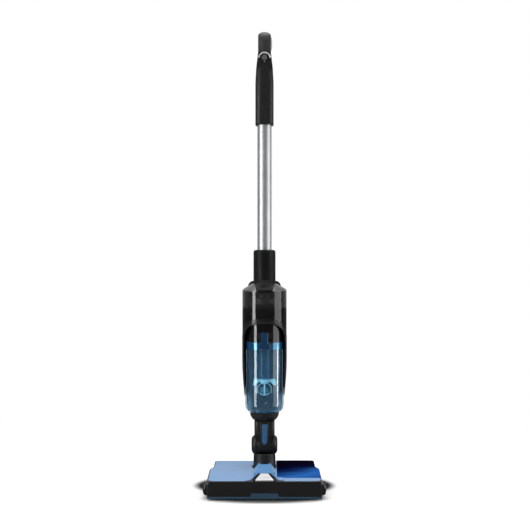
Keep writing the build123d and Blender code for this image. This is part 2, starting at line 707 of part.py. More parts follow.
def control_board():
    board = block(15, 44, 79, 80.6, 255, 345)
    for z, height in ((270, 14), (296, 8), (320, 18)):
        board = board + block(20, 36, 80.6, 84, z, z + height)
    return board


def riser_pipe():
    """Dirty-water pipe from the neck up the spine into the tank."""
    outside = rod_z(10, 196, PIPE_Z, 0, PIPE_Y) + Pos(0, PIPE_Y, PIPE_Z) * Sphere(10)
    outside = outside + rod_y(10, SPINE_FRONT + 2.6, PIPE_Y, 0, PIPE_Z)
    inside = rod_z(8, 190, PIPE_Z, 0, PIPE_Y) + Pos(0, PIPE_Y, PIPE_Z) * Sphere(8)
    inside = inside + rod_y(8, SPINE_FRONT + 1, PIPE_Y, 0, PIPE_Z)
    return outside - inside


def exhaust_grille():
    panel = block(-25.8, 25.8, 94.5, BODY_BACK_Y - 0.3, 268.2, 329.8)
    for step in range(9):
        z = 273 + 6.2 * step
        panel = panel - block(-21, 21, 93, 99, z, z + 3)
    return panel


def battery_pack():
    pack = round_block(-41.5, 41.5, BAY_FRONT + 0.5, 95, 357.6, 504, 8)
    cap = block(-43, 43, BAY_FRONT + 0.5, BODY_BACK_Y, 503.5, 528)
    cap = fillet(cap.edges().filter_by(Axis.Y).group_by(Axis.Z)[-1], 14)
    cap = chamfer(cap.edges().group_by(Axis.Y)[-1], 1.5)
    pocket = block(-10.4, 10.4, 93.5, 101, 507.6, 520.4)
    return pack + cap - pocket


def battery_latch():
    latch = block(-10, 10, 96, HEAD_HALF_DEPTH, 508, 520)
    return chamfer(latch.faces().sort_by(Axis.Y)[-1].edges(), 0.8)


def save_body():
    save(swivel_ring(), "swivel_ring")
    save(turret(), "turret")
    save(pitch_pins(), "pitch_pins")
    save(neck_housing(), "neck_housing")
    save(neck_button(), "neck_button")
    save(bowl_base(), "bowl_base")
    save(body_shell_front(), "body_shell_front")
    save(body_shell_rear(), "body_shell_rear")
    save(arch_frame(), "arch_frame")
    save(shoulder_cap(), "shoulder_cap")
    save(suction_motor(), "suction_motor")
    save(impeller(), "impeller")
    save(motor_mount(), "motor_mount")
    save(control_board(), "control_board")
    save(riser_pipe(), "riser_pipe")
    save(exhaust_grille(), "exhaust_grille")
    save(battery_pack(), "battery_pack")
    save(battery_latch(), "battery_latch")


# Dirty tank

RIM_TOP = TANK_RIM - 0.6
LATCH_FRONT = -12.6
CAGE_Z = 249.0
CAGE_RADIUS = 18.0


def latch_outline(y0, y1, grow=0.0):
    """T shape of the tank latch: a narrow stem above a wider foot."""
    stem = 9 + grow
    foot = 15 + grow
    right = [(stem, 399 + grow), (stem, 373), (foot, 368), (foot, 358 - grow)]
    left = [(-x, z) for x, z in reversed(right)]
    return front_prism(right + left, y0, y1)


def dirty_tank_bin():
    profile = [(0, 192), (37, 192), (44, 195.5), (48.2, 202), (49.3, 210), (49.3, RIM_TOP), (0, RIM_TOP)]
    inside = [(0, 194.6), (34, 194.6), (37, 197), (47.1, TAPER_TOP), (47.1, RIM_TOP + 1), (0, RIM_TOP + 1)]
    keep = block(-60, 60, -60, TANK_BACK_Y, 190, 380)
    keep_inside = block(-60, 60, -60, TANK_BACK_Y - TANK_WALL, 190, 380)
    walls = (turned(profile, 0, STICK_Y) & keep) - (turned(inside, 0, STICK_Y) & keep_inside)
    backing = block(-18, 18, -8.5, -3, 355, RIM_TOP) & rod_z(48, 350, 380, 0, STICK_Y)
    inlet = rod_y(9, TANK_BACK_Y - 5, TANK_BACK_Y + 2, 0, PIPE_Z)
    return walls + backing - latch_outline(-20, -5, CLEAR) - inlet


def separator_lid():
    outer = tank_plan(TANK_RADIUS, TANK_BACK_Y, TANK_RIM, ARCH_TOP) & arch_window(-0.8)
    inner = tank_plan(TANK_RADIUS - 2.2, TANK_BACK_Y - 2.2, TANK_RIM + 2.2, ARCH_TOP) & arch_window(-3.2)
    skirt = tank_plan(46.8, TANK_BACK_Y - 2.6, 366, TANK_RIM)
    skirt = skirt - tank_plan(44.8, TANK_BACK_Y - 4.6, 365, TANK_RIM)
    backing = block(-18, 18, -8.5, -3, TANK_RIM, 402) & rod_z(48, 370, 405, 0, STICK_Y)
    latch_room = block(-20, 20, -12, -2.5, 350, TANK_RIM - 0.01)
    tube_hole = rod_z(17, 370, 378, 0, TANK_Y)
    outlet = rod_z(17, 400, 430, 0, MOTOR_AXIS_Y)
    lid = outer - inner + backing + (skirt - latch_room)
    return lid - latch_outline(-20, -5, CLEAR) - tube_hole - outlet


def tank_latch():
    latch = latch_outline(LATCH_FRONT, -8.0)
    return chamfer(latch.faces().sort_by(Axis.Y)[0].edges(), 1.0)


def tank_gasket():
    ring = tank_plan(48.9, TANK_BACK_Y - 0.4, RIM_TOP, TANK_RIM)
    hollow = tank_plan(47.4, TANK_BACK_Y - 2, RIM_TOP - 1, TANK_RIM + 1)
    return ring - hollow - block(-16, 16, -12, -2, 370, 376)


def centre_tube():
    outer = rod_z(17, 277, 380, 0, TANK_Y)
    return outer - rod_z(15, 276, 381, 0, TANK_Y)


def baffle():
    """Splash wings and the wire cage that holds the float."""
    bridge = rod_z(16, 269.5, 277, 0, TANK_Y) - rod_z(9, 268, 278, 0, TANK_Y)
    wing = front_prism([(14, 277), (12, 272), (24, 262), (30, 262), (27, 277)], TANK_Y - 13, TANK_Y + 13)
    body = bridge
    for side_wing in both_sides(wing - rod_z(14, 260, 280, 0, TANK_Y)):
        body = body + side_wing
    hoop = Pos(0, TANK_Y, CAGE_Z) * Rot(90, 0, 0) * Torus(CAGE_RADIUS, 1.6)
    cross_hoop = Pos(0, TANK_Y, CAGE_Z) * Rot(0, 90, 0) * Torus(CAGE_RADIUS, 1.6)
    collar = rod_z(11, 264.6, 270, 0, TANK_Y) - rod_z(9, 264, 271, 0, TANK_Y)
    return body + hoop + cross_hoop + collar


def float_ball():
    return Pos(0, TANK_Y, CAGE_Z - 3.4) * Sphere(12.5)


def filter_pad():
    pad = rod_z(20, 380.4, 394, 0, TANK_Y)
    for step in range(16):
        angle = math.radians(22.5 * step)
        pad = pad - rod_z(1.3, 380, 395, 20 * math.cos(angle), TANK_Y + 20 * math.sin(angle))
    return pad


def save_tank():
    save(dirty_tank_bin(), "dirty_tank_bin")
    save(separator_lid(), "separator_lid")
    save(tank_latch(), "tank_latch")
    save(tank_gasket(), "tank_gasket")
    save(centre_tube(), "centre_tube")
    save(baffle(), "baffle")
    save(float_ball(), "float_ball")
    save(filter_pad(), "filter_pad")


# Handle

GRIP_SPLIT = 1115.0
LOOP_FRONT = 16.0
LOOP_BACK = 97.0
GAP_FRONT = 48.0
GAP_BACK = 76.0
GAP_BOTTOM = 1086.0
GAP_TOP = 1156.0
POD_Z = 1098.5


def tube_collar():
    barrel = rod_z(COLLAR_RADIUS, SHOULDER_TOP - 6, COLLAR_TOP, 0, STICK_Y)
    barrel = fillet(barrel.edges().sort_by(Axis.Z)[-1], 6)
    tongue = front_prism([(-28, 531), (28, 531), (19, 499.5), (-19, 499.5)], STICK_Y - 60, STICK_Y)
    skin = [(58.6, 499), (58.6, 505.6), (54, 511), (36.5, 521.5), (30, 531)]
    envelope = turned([(0, 499)] + skin + [(0, 531)], 0, STICK_Y)
    below = [(COLLAR_RADIUS, 490), (57, 490)] + SHOULDER_SLOPE + [(COLLAR_RADIUS, SHOULDER_TOP)]
    tongue = (tongue & envelope) - turned(below, 0, STICK_Y)
    core = rod_z(TUBE_RADIUS, 545, COLLAR_TOP + 1, 0, STICK_Y)
    pocket = rod_y(6.4, STICK_Y + 21, STICK_Y + 40, 0, 584)
    return barrel + tongue - core - pocket


def tube_release_button():
    button = rod_y(6, STICK_Y + 24, STICK_Y + 29.2, 0, 584)
    return fillet(button.edges().sort_by(Axis.Y)[-1], 0.8)


def handle_tube():
    tube = rod_z(TUBE_RADIUS, 545, SLEEVE_BOTTOM + 60, 0, STICK_Y)
    return tube - rod_z(TUBE_RADIUS - TUBE_WALL, 540, SLEEVE_BOTTOM + 70, 0, STICK_Y)


def handle_sleeve():
    half = SLEEVE_HALF_WIDTH
    sleeve = round_block(-half, half, STICK_Y - 24, STICK_Y + 24, SLEEVE_BOTTOM, SLEEVE_TOP, 15)
    neck = [(half, 900), (half, 1038), (21, SLEEVE_TOP + 5)]
    sleeve = sleeve & front_prism(neck + [(-x, z) for x, z in reversed(neck)], 0, 90)
    bottom = sleeve.edges().group_by(Axis.Z)[0]
    sleeve = chamfer(bottom, 1.5)
    return sleeve - rod_z(TUBE_RADIUS, SLEEVE_BOTTOM - 1, SLEEVE_BOTTOM + 60, 0, STICK_Y)


def handle_loop():
    """Closed D-shaped loop, seen from the side, with a rounded crown seen from the front."""
    outer = block(-22, 22, LOOP_FRONT, LOOP_BACK, SLEEVE_TOP, HANDLE_TOP)
    top_edges = outer.edges().filter_by(Axis.X).group_by(Axis.Z)[-1]
    outer = fillet(top_edges, 34)
    back_edge = outer.edges().filter_by(Axis.X).group_by(Axis.Z)[0].sort_by(Axis.Y)[-1]
    outer = fillet(back_edge, 20)
    gap = block(-30, 30, GAP_FRONT, GAP_BACK, GAP_BOTTOM, GAP_TOP)
    gap = fillet(gap.edges().filter_by(Axis.X), 10)
    crown = rod_y(GRIP_HALF_WIDTH, 0, 120, 0, HANDLE_TOP - GRIP_HALF_WIDTH)
    upright = block(-GRIP_HALF_WIDTH, GRIP_HALF_WIDTH, 0, 120, GRIP_SPLIT, HANDLE_TOP - GRIP_HALF_WIDTH)
    waist = [(21, SLEEVE_TOP), (GRIP_HALF_WIDTH, GRIP_SPLIT)]
    flare = front_prism(waist + [(-x, z) for x, z in reversed(waist)], 0, 120)
    return (outer - gap) & (crown + upright + flare)


def grip():
    upper = handle_loop() & block(-30, 30, 0, 120, GRIP_SPLIT + 0.05, HANDLE_TOP + 1)
    pocket = block(-6.4, 6.4, GAP_FRONT - 6, GAP_FRONT + 1, 1127.6, 1150.4)
    return upper - pocket


def handle_yoke():
    lower = handle_loop() & block(-30, 30, 0, 120, SLEEVE_TOP, GRIP_SPLIT)
    pod = rod_y(15, LOOP_FRONT - 0.5, LOOP_FRONT + 12, 0, POD_Z)
    lower = lower + (pod & block(-30, 30, 0, 120, SLEEVE_TOP, GRIP_SPLIT))
    return lower - rod_y(13, LOOP_FRONT - 3, LOOP_FRONT + 8, 0, POD_Z)


def control_rim():
    """Light rim over the upper half of the control pod."""
    ring = rod_y(16.2, LOOP_FRONT - 3, LOOP_FRONT - 0.5, 0, POD_Z)
    ring = ring - rod_y(13, LOOP_FRONT - 4, LOOP_FRONT, 0, POD_Z)
    return ring & block(-20, 20, 0, 30, POD_Z + 1, POD_Z + 20)


def control_panel():
    disc = rod_y(12.95, LOOP_FRONT - 0.8, LOOP_FRONT + 7.9, 0, POD_Z)
    disc = disc - rod_y(6.9, LOOP_FRONT - 2, LOOP_FRONT + 5, 0, POD_Z + 2.5)
    return disc - rod_y(2.9, LOOP_FRONT - 2, LOOP_FRONT + 5, 0, POD_Z - 8)


def power_button():
    button = rod_y(6.6, LOOP_FRONT - 2.4, LOOP_FRONT + 2.8, 0, POD_Z + 2.5)
    return fillet(button.edges().sort_by(Axis.Y)[0], 0.8)


def mode_button():
    button = rod_y(2.6, LOOP_FRONT - 2, LOOP_FRONT + 2.8, 0, POD_Z - 8)
    return fillet(button.edges().sort_by(Axis.Y)[0], 0.5)


def trigger():
    lever = block(-6, 6, GAP_FRONT - 2, GAP_FRONT + 6, 1128, 1150)
    tip = lever.edges().filter_by(Axis.X).group_by(Axis.Y)[-1]
    return fillet(tip, 3.5)


def flank_strip():
    """Slim light strip bowed along the right flank of the grip."""
    top = (GRIP_HALF_WIDTH, 22, HANDLE_TOP - GRIP_HALF_WIDTH)
    bottom = (GRIP_HALF_WIDTH, 22, GRIP_SPLIT + 1)
    arc = ThreePointArc(top, (GRIP_HALF_WIDTH + 3.4, 22, 1136), bottom)
    face = make_face([arc, Line(arc @ 1, arc @ 0)])
    return extrude(face, 9, dir=(0, 1, 0))


def handle_trim():
    return group([control_rim(), flank_strip()])


def save_handle():
    save(tube_collar(), "tube_collar")
    save(tube_release_button(), "tube_release_button")
    save(handle_tube(), "handle_tube")
    save(handle_sleeve(), "handle_sleeve")
    save(grip(), "grip")
    save(handle_yoke(), "handle_yoke")
    save(handle_trim(), "handle_trim")
    save(control_panel(), "control_panel")
    save(power_button(), "power_button")
    save(mode_button(), "mode_button")
    save(trigger(), "trigger")


save_head()
save_body()
save_tank()
save_handle()
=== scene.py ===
import json
import math

import bmesh
import bpy
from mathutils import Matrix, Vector


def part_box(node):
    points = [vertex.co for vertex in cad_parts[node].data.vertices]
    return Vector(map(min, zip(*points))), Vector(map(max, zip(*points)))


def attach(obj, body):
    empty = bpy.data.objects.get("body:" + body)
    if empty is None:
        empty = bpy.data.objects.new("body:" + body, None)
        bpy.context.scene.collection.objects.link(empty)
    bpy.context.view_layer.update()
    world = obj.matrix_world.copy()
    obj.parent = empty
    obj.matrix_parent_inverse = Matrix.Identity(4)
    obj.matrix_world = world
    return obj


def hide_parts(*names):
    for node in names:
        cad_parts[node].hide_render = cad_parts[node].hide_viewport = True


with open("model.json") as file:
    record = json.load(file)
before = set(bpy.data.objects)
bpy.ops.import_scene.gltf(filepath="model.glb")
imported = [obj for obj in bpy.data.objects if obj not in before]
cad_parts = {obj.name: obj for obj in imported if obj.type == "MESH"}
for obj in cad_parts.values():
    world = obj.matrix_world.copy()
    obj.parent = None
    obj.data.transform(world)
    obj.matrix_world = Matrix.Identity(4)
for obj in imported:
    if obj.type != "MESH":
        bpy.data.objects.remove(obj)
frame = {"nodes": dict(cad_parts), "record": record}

NODES = frame["nodes"]
RECORD = frame["record"]
BODY_OF = {node: body for body, members in RECORD["behaviour"]["bodies"].items() for node in members}
SLOT_OF = {entry["node"]: entry["material_slot"] for entry in RECORD["subparts"]}
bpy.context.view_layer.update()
MM = 0.001


# Node helpers

class Graph:
    """A node tree being built."""

    def __init__(self, tree):
        self.tree = tree

    def node(self, kind, **settings):
        made = self.tree.nodes.new(kind)
        for key, value in settings.items():
            setattr(made, key, value)
        return made

    def link(self, source, target):
        self.tree.links.new(source, target)

    def fit(self, value, low, high, to_low=0.0, to_high=1.0, smooth=False):
        """Map a value from one range to another, held at both ends."""
        kind = "SMOOTHSTEP" if smooth else "LINEAR"
        made = self.node("ShaderNodeMapRange", interpolation_type=kind)
        made.inputs["From Min"].default_value = low
        made.inputs["From Max"].default_value = high
        made.inputs["To Min"].default_value = to_low
        made.inputs["To Max"].default_value = to_high
        self.link(value, made.inputs["Value"])
        return made.outputs["Result"]

    def maths(self, operation, *values):
        """Work on values, each a socket or a plain number."""
        made = self.node("ShaderNodeMath", operation=operation)
        for value, socket in zip(values, made.inputs):
            if isinstance(value, float):
                socket.default_value = value
            else:
                self.link(value, socket)
        return made.outputs[0]

    def axes(self, vector):
        """The X, Y and Z of a vector."""
        made = self.node("ShaderNodeSeparateXYZ")
        self.link(vector, made.inputs[0])
        return made.outputs

    def length(self, vector):
        made = self.node("ShaderNodeVectorMath", operation="LENGTH")
        self.link(vector, made.inputs[0])
        return made.outputs["Value"]

    def mixed(self, share, first, second):
        """A surface that turns from the first into the second."""
        made = self.node("ShaderNodeMixShader")
        for source, socket in zip((share, first, second), made.inputs):
            self.link(source, socket)
        return made.outputs[0]


class Shader(Graph):
    """A material built on a Principled shader."""

    def __init__(self, name):
        self.material = bpy.data.materials.new(name)
        self.material.use_nodes = True
        super().__init__(self.material.node_tree)
        self.shader = self.tree.nodes["Principled BSDF"]
        self.place = self.node("ShaderNodeTexCoord").outputs["Object"]

    def set(self, **values):
        """Set plain values on the shader's own sockets."""
        for key, value in values.items():
            self.shader.inputs[key.replace("_", " ")].default_value = value

    def surface(self, source):
        """Use another surface than the plain shader."""
        self.link(source, self.tree.nodes["Material Output"].inputs["Surface"])

    def placed(self, scale, shift=(0, 0, 0)):
        """Object coordinates scaled and then shifted along each axis."""
        mapping = self.node("ShaderNodeMapping")
        mapping.inputs["Location"].default_value = shift
        mapping.inputs["Scale"].default_value = scale
        self.link(self.place, mapping.inputs["Vector"])
        return mapping.outputs["Vector"]

    def noise(self, scale, detail=3.0, vector=None):
        made = self.node("ShaderNodeTexNoise")
        made.inputs["Scale"].default_value = scale
        made.inputs["Detail"].default_value = detail
        made.inputs["Roughness"].default_value = 0.55
        self.link(vector or self.place, made.inputs["Vector"])
        return made.outputs["Fac"]

    def cells(self, scale):
        made = self.node("ShaderNodeTexVoronoi")
        made.inputs["Scale"].default_value = scale
        self.link(self.place, made.inputs["Vector"])
        return made.outputs["Distance"]

    def ramp(self, factor, stops):
        """Colours along a value, each stop a position and a colour."""
        made = self.node("ShaderNodeValToRGB")
        elements = made.color_ramp.elements
        while len(elements) < len(stops):
            elements.new(0.5)
        for element, (position, colour) in zip(elements, stops):
            element.position = position
            element.color = (*colour, 1)
        self.link(factor, made.inputs["Fac"])
        return made.outputs["Color"]

    def colour(self, source):
        self.link(source, self.shader.inputs["Base Color"])

    def tones(self, factor, dark, light):
        """Blend two base colours by a texture value."""
        made = self.ramp(factor, ((0.32, dark), (0.68, light)))
        self.colour(made)
        return made

    def blend(self, factor, first, second):
        """Mix two colours, each a socket or a plain colour."""
        made = self.node("ShaderNodeMix", data_type="RGBA")
        self.link(factor, made.inputs["Factor"])
        for value, key in ((first, "A"), (second, "B")):
            if isinstance(value, tuple):
                made.inputs[key].default_value = (*value, 1)
            else:
                self.link(value, made.inputs[key])
        return made.outputs["Result"]

    def roughness(self, factor, low, high):
        """Uneven gloss from a texture value, which mostly lies between 0.3 and 0.7."""
        self.link(self.fit(factor, 0.3, 0.7, low, high), self.shader.inputs["Roughness"])

    def bump(self, height, distance, strength=1.0):
        made = self.node("ShaderNodeBump")
        made.inputs["Distance"].default_value = distance
        made.inputs["Strength"].default_value = strength
        self.link(height, made.inputs["Height"])
        self.link(made.outputs["Normal"], self.shader.inputs["Normal"])


def shade(colour, share):
    """A colour made lighter or darker."""
    return tuple(min(1.0, c * share) for c in colour)


def moulded(name, colour, low, high, grain=900.0, depth=0.00004, coat=0.0, vary=0.1, glint=0.5):
    """Moulded plastic: faint flow mottling, uneven gloss and a fine skin."""
    made = Shader(name)
    made.set(Coat_Weight=coat, Coat_Roughness=0.04, Specular_IOR_Level=glint)
    made.tones(made.noise(14.0, 4.0), shade(colour, 1 - vary), shade(colour, 1 + vary))
    made.roughness(made.noise(38.0, 5.0), low, high)
    made.bump(made.noise(grain, 2.0), depth)
    return made.material


LIGHT_LET_IN = 0.75


def clear_plastic(name, tint, veil, rim, haze=0.1):
    """Transparent plastic: faint body colour face on, a painted pale rim highlight edge on, and light
    let in behind it.
    """
    made = Shader(name)
    made.set(Transmission_Weight=1.0, IOR=1.49)
    streaks = made.noise(30.0, vector=made.placed((1, 1, 0.25)))
    made.tones(streaks, shade(tint, 0.95), shade(tint, 1.05))
    made.roughness(made.noise(55.0, 5.0), 0.015, 0.06)
    made.bump(made.noise(18.0, 2.0), 0.0001, 0.3)
    edge = made.node("ShaderNodeLayerWeight")
    edge.inputs["Blend"].default_value = 0.28
    cover = made.fit(edge.outputs["Facing"], 0.55, 0.95, haze, 0.85, smooth=True)
    # Lit diffuse colour that turns to the rim colour edge on; where the rim colour is pale, this is a
    # painted rim highlight
    glow = made.node("ShaderNodeBsdfDiffuse")
    made.link(made.blend(cover, veil, rim), glow.inputs["Color"])
    body = made.mixed(cover, made.shader.outputs[0], glow.outputs[0])
    is_shadow = made.node("ShaderNodeLightPath").outputs["Is Shadow Ray"]
    open_way = made.node("ShaderNodeBsdfTransparent").outputs[0]
    made.surface(made.mixed(made.maths("MULTIPLY", is_shadow, LIGHT_LET_IN), body, open_way))
    return made.material


def window_navy(name):
    """Deep navy tank plastic over water with a painted reflection: dark behind, a painted blue sheen
    drifting in towards the front.
    """
    made = Shader(name)
    made.set(IOR=1.0)
    # IOR 1 turns the real reflection off; the blue drifting in towards the front is a painted
    # reflection in its place, and the near-black behind is the tank's own navy
    x, y, _ = made.axes(made.place)
    slant = made.maths("MULTIPLY_ADD", x, -0.45, y)
    drift = made.noise(9.0, vector=made.placed((0.5, 1.6, 1)))
    sheen_place = made.maths("MULTIPLY_ADD", drift, 0.09, slant)
    made.colour(made.ramp(made.fit(sheen_place, -0.08, 0.1), (
        (0.0, (0.01, 0.05, 0.2)),
        (0.28, (0.016, 0.09, 0.31)),
        (0.5, (0.003, 0.012, 0.06)),
        (0.68, (0.0015, 0.002, 0.014)),
        (1.0, (0.002, 0.0015, 0.007)),
    )))
    made.roughness(made.noise(40.0, 4.0), 0.08, 0.16)
    return made.material


def satin_silver(name):
    """Bright satin paint with a light grey cast and fine grain."""
    made = Shader(name)
    made.set(Metallic=0.25, Specular_IOR_Level=0.6)
    grain = made.noise(70.0, 4.0, vector=made.placed((1, 3, 1)))
    made.tones(grain, (0.62, 0.62, 0.63), (0.86, 0.86, 0.85))
    made.roughness(made.noise(200.0, 3.0), 0.32, 0.5)
    made.bump(made.noise(1800.0, 2.0), 0.00001)
    return made.material


def metal(name, colour, low, high, along=(900, 900, 12), depth=0.00001):
    """Metal with fine drawn lines along one axis."""
    made = Shader(name)
    made.set(Metallic=1.0)
    lines = made.noise(1.0, 4.0, vector=made.placed(along))
    made.tones(made.noise(20.0), shade(colour, 0.94), shade(colour, 1.05))
    made.roughness(lines, low, high)
    made.bump(lines, depth)
    return made.material


def soft_touch(name, colour, low, high, grain=1400.0, depth=0.00008):
    """Rubbery skin with a fine pebble and a little sheen."""
    made = Shader(name)
    made.set(Sheen_Weight=0.04, Sheen_Roughness=0.5, Specular_IOR_Level=0.25)
    made.tones(made.noise(25.0, 5.0), shade(colour, 0.85), shade(colour, 1.15))
    made.roughness(made.noise(60.0, 4.0), low, high)
    made.bump(made.cells(grain), depth)
    return made.material


def pile(name, colour):
    """Short microfibre pile in loops."""
    made = Shader(name)
    made.set(Sheen_Weight=0.5, Sheen_Roughness=0.4)
    made.tones(made.noise(420.0, 6.0), shade(colour, 0.55), shade(colour, 1.5))
    made.roughness(made.noise(90.0), 0.85, 1.0)
    made.bump(made.cells(700.0), 0.0008)
    return made.material


def trim_grey(name):
    """Light grey trim with a painted highlight: paler along its right flank, where the right lamp's
    reflection is painted in.
    """
    made = Shader(name)
    # Painted highlight: the colour turns paler towards the right flank, with a faint random mottle
    # added
    painted_flank_highlight = made.fit(made.axes(made.place)["X"], 10 * MM, 17 * MM, 0.36, 0.62)
    mottle_and_highlight = made.maths("MULTIPLY_ADD", made.noise(60.0, 4.0), 0.06, painted_flank_highlight)
    made.tones(mottle_and_highlight, (0.3, 0.3, 0.305), (0.92, 0.92, 0.92))
    made.roughness(made.noise(80.0), 0.22, 0.36)
    return made.material


def board_green(name):
    """Circuit board with copper runs under green lacquer."""
    made = Shader(name)
    runs = made.node("ShaderNodeTexBrick")
    runs.inputs["Scale"].default_value = 260.0
    runs.inputs["Mortar Size"].default_value = 0.03
    runs.inputs["Color1"].default_value = (0.01, 0.10, 0.04, 1)
    runs.inputs["Color2"].default_value = (0.012, 0.13, 0.05, 1)
    runs.inputs["Mortar"].default_value = (0.05, 0.28, 0.1, 1)
    made.link(made.place, runs.inputs["Vector"])
    made.colour(runs.outputs["Color"])
    made.roughness(made.noise(80.0), 0.25, 0.45)
    return made.material


def rim_gloss(name):
    """Glossy deep blue with a cool reflection."""
    made = Shader(name)
    made.set(IOR=2.3, Specular_Tint=(0.35, 0.75, 1.0, 1))
    made.tones(made.noise(24.0, 3.0), (0.002, 0.03, 0.09), (0.004, 0.05, 0.14))
    made.roughness(made.noise(70.0, 3.0), 0.05, 0.12)
    return made.material


SLOT_MATERIALS = {
    "blue_cover": moulded("blue_cover", (0.10, 0.23, 0.44), 0.12, 0.22, 1400.0, 0.00001, 0.2, 0.04),
    "slate_blue": moulded("slate_blue", (0.014, 0.047, 0.082), 0.3, 0.45, 900.0, 0.00003, 0.1),
    "button_blue": moulded("button_blue", (0.02, 0.085, 0.19), 0.2, 0.35, 1200.0, 0.00002, 0.3),
    "navy_clear": window_navy("navy_clear"),
    "blue_clear": clear_plastic(
        "blue_clear", (0.38, 0.72, 0.88), (0.002, 0.07, 0.17), (0.8, 0.97, 1.0)),
    "smoke_clear": clear_plastic(
        "smoke_clear", (0.09, 0.09, 0.093), (0.02, 0.02, 0.02), (0.03, 0.03, 0.03)),
    "black_matte": moulded(
        "black_matte", (0.006, 0.006, 0.0062), 0.36, 0.52, 1500.0, 0.00004, 0.0, 0.15, 0.28),
    "black_gloss": moulded(
        "black_gloss", (0.005, 0.005, 0.0055), 0.14, 0.26, 1100.0, 0.00001, 0.0, 0.15, 0.32),
    "grey_gloss": moulded("grey_gloss", (0.075, 0.075, 0.078), 0.16, 0.28, 1100.0, 0.00002, 0.3),
    "grey_soft": soft_touch("grey_soft", (0.02, 0.02, 0.0205), 0.5, 0.68),
    "light_grey": trim_grey("light_grey"),
    "silver_plate": satin_silver("silver_plate"),
    "tube_metal": metal("tube_metal", (0.4, 0.41, 0.415), 0.4, 0.5),
    "steel": metal("steel", (0.6, 0.6, 0.61), 0.2, 0.4, (900, 30, 900)),
    "microfibre": pile("microfibre", (0.03, 0.075, 0.14)),
    "black_rubber": soft_touch("black_rubber", (0.012, 0.012, 0.012), 0.6, 0.8, 900.0, 0.00005),
    "inner_grey": moulded("inner_grey", (0.2, 0.205, 0.21), 0.4, 0.55),
    "board": board_green("board"),
    "filter_foam": pile("filter_foam", (0.4, 0.42, 0.44)),
    "baffle_white": moulded("baffle_white", (0.86, 0.9, 0.93), 0.2, 0.35, 1100.0, 0.00002, 0.2),
}


def coat_with(piece, material):
    """Make a material the piece's only one."""
    piece.data.materials.clear()
    piece.data.materials.append(material)


def paint(piece, slot_name):
    """Give a piece one of the slots' materials."""
    coat_with(piece, SLOT_MATERIALS[slot_name])


WELD_DISTANCE = 0.02 * MM


def weld_seams(piece):
    """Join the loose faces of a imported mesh."""
    weld = piece.modifiers.new("weld", "WELD")
    weld.merge_threshold = WELD_DISTANCE


def soften_edges(piece, width):
    """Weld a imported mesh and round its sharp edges, as a moulding has them."""
    weld_seams(piece)
    bevel = piece.modifiers.new("edge", "BEVEL")
    bevel.width = width
    bevel.segments = 2
    bevel.limit_method = "ANGLE"
    bevel.angle_limit = math.radians(40)
    bevel.harden_normals = True


SMALL_EDGE = 0.4 * MM
EDGE_WIDTHS = {
    "head_top_cover": 1.2 * MM,
    "roller_cover": 1.0 * MM,
    "clean_water_tank": 0.8 * MM,
    "turret": 0.8 * MM,
    "neck_housing": 1.5 * MM,
    "handle_sleeve": 0.8 * MM,
    "battery_pack": 0.8 * MM,
}

# A bevel would spoil the smooth reflections of these
CURVED_SKINS = (
    "body_shell_front", "body_shell_rear", "dirty_tank_bin", "separator_lid", "centre_tube",
    "handle_tube", "arch_frame", "shoulder_cap", "bowl_base", "tank_gasket", "roller_sleeve",
    "float_ball", "baffle",
)

for node_name, node in NODES.items():
    paint(node, SLOT_OF[node_name])
    if node_name not in CURVED_SKINS:
        soften_edges(node, EDGE_WIDTHS.get(node_name, SMALL_EDGE))

OWN_MATERIALS = {
    "tank_latch": moulded(
        "latch_blue", (0.002, 0.026, 0.07), 0.12, 0.25, 1200.0, 0.00002, 0.1, 0.1, 0.4),
    "tube_collar": moulded(
        "collar_black", (0.0035, 0.0035, 0.0038), 0.35, 0.5, 1500.0, 0.00004, 0.0, 0.15, 0.1),
    "float_ball": clear_plastic(
        "float_clear", (0.35, 0.5, 0.58), (0.12, 0.2, 0.25), (0.8, 0.88, 0.9), haze=0.25),
}
for node_name, material in OWN_MATERIALS.items():
    coat_with(NODES[node_name], material)


# Mouldings too fine for the imported nodes, and painted highlight strips

def finished_piece(name, build):
    """An object in the scene made from a mesh under construction."""
    mesh = bpy.data.meshes.new(name)
    build.to_mesh(mesh)
    build.free()
    piece = bpy.data.objects.new(name, mesh)
    bpy.context.scene.collection.objects.link(piece)
    return piece


def curved_strip(name, centre, radii, heights, angles, steps=40):
    """A strip bent round an upright axis, with angles in degrees from the front."""
    build = bmesh.new()
    rings = []
    for step in range(steps + 1):
        turn = math.radians(angles[0] + (angles[1] - angles[0]) * step / steps)
        ring = []
        for outer, upper in ((0, 0), (1, 0), (1, 1), (0, 1)):
            x = centre[0] + radii[outer] * math.sin(turn)
            y = centre[1] - radii[outer] * math.cos(turn)
            ring.append(build.verts.new((x, y, heights[upper])))
        rings.append(ring)
    for here, ahead in zip(rings, rings[1:]):
        for side in range(4):
            after = (side + 1) % 4
            build.faces.new((here[side], here[after], ahead[after], ahead[side]))
    build.faces.new(rings[0][::-1])
    build.faces.new(rings[-1])
    bmesh.ops.recalc_face_normals(build, faces=build.faces)
    return finished_piece(name, build)


bin_low, bin_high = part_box("dirty_tank_bin")
latch_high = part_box("tank_latch")[1]
bin_radius = (bin_high.x - bin_low.x) / 2
bin_centre = (0.0, bin_low.y + bin_radius)

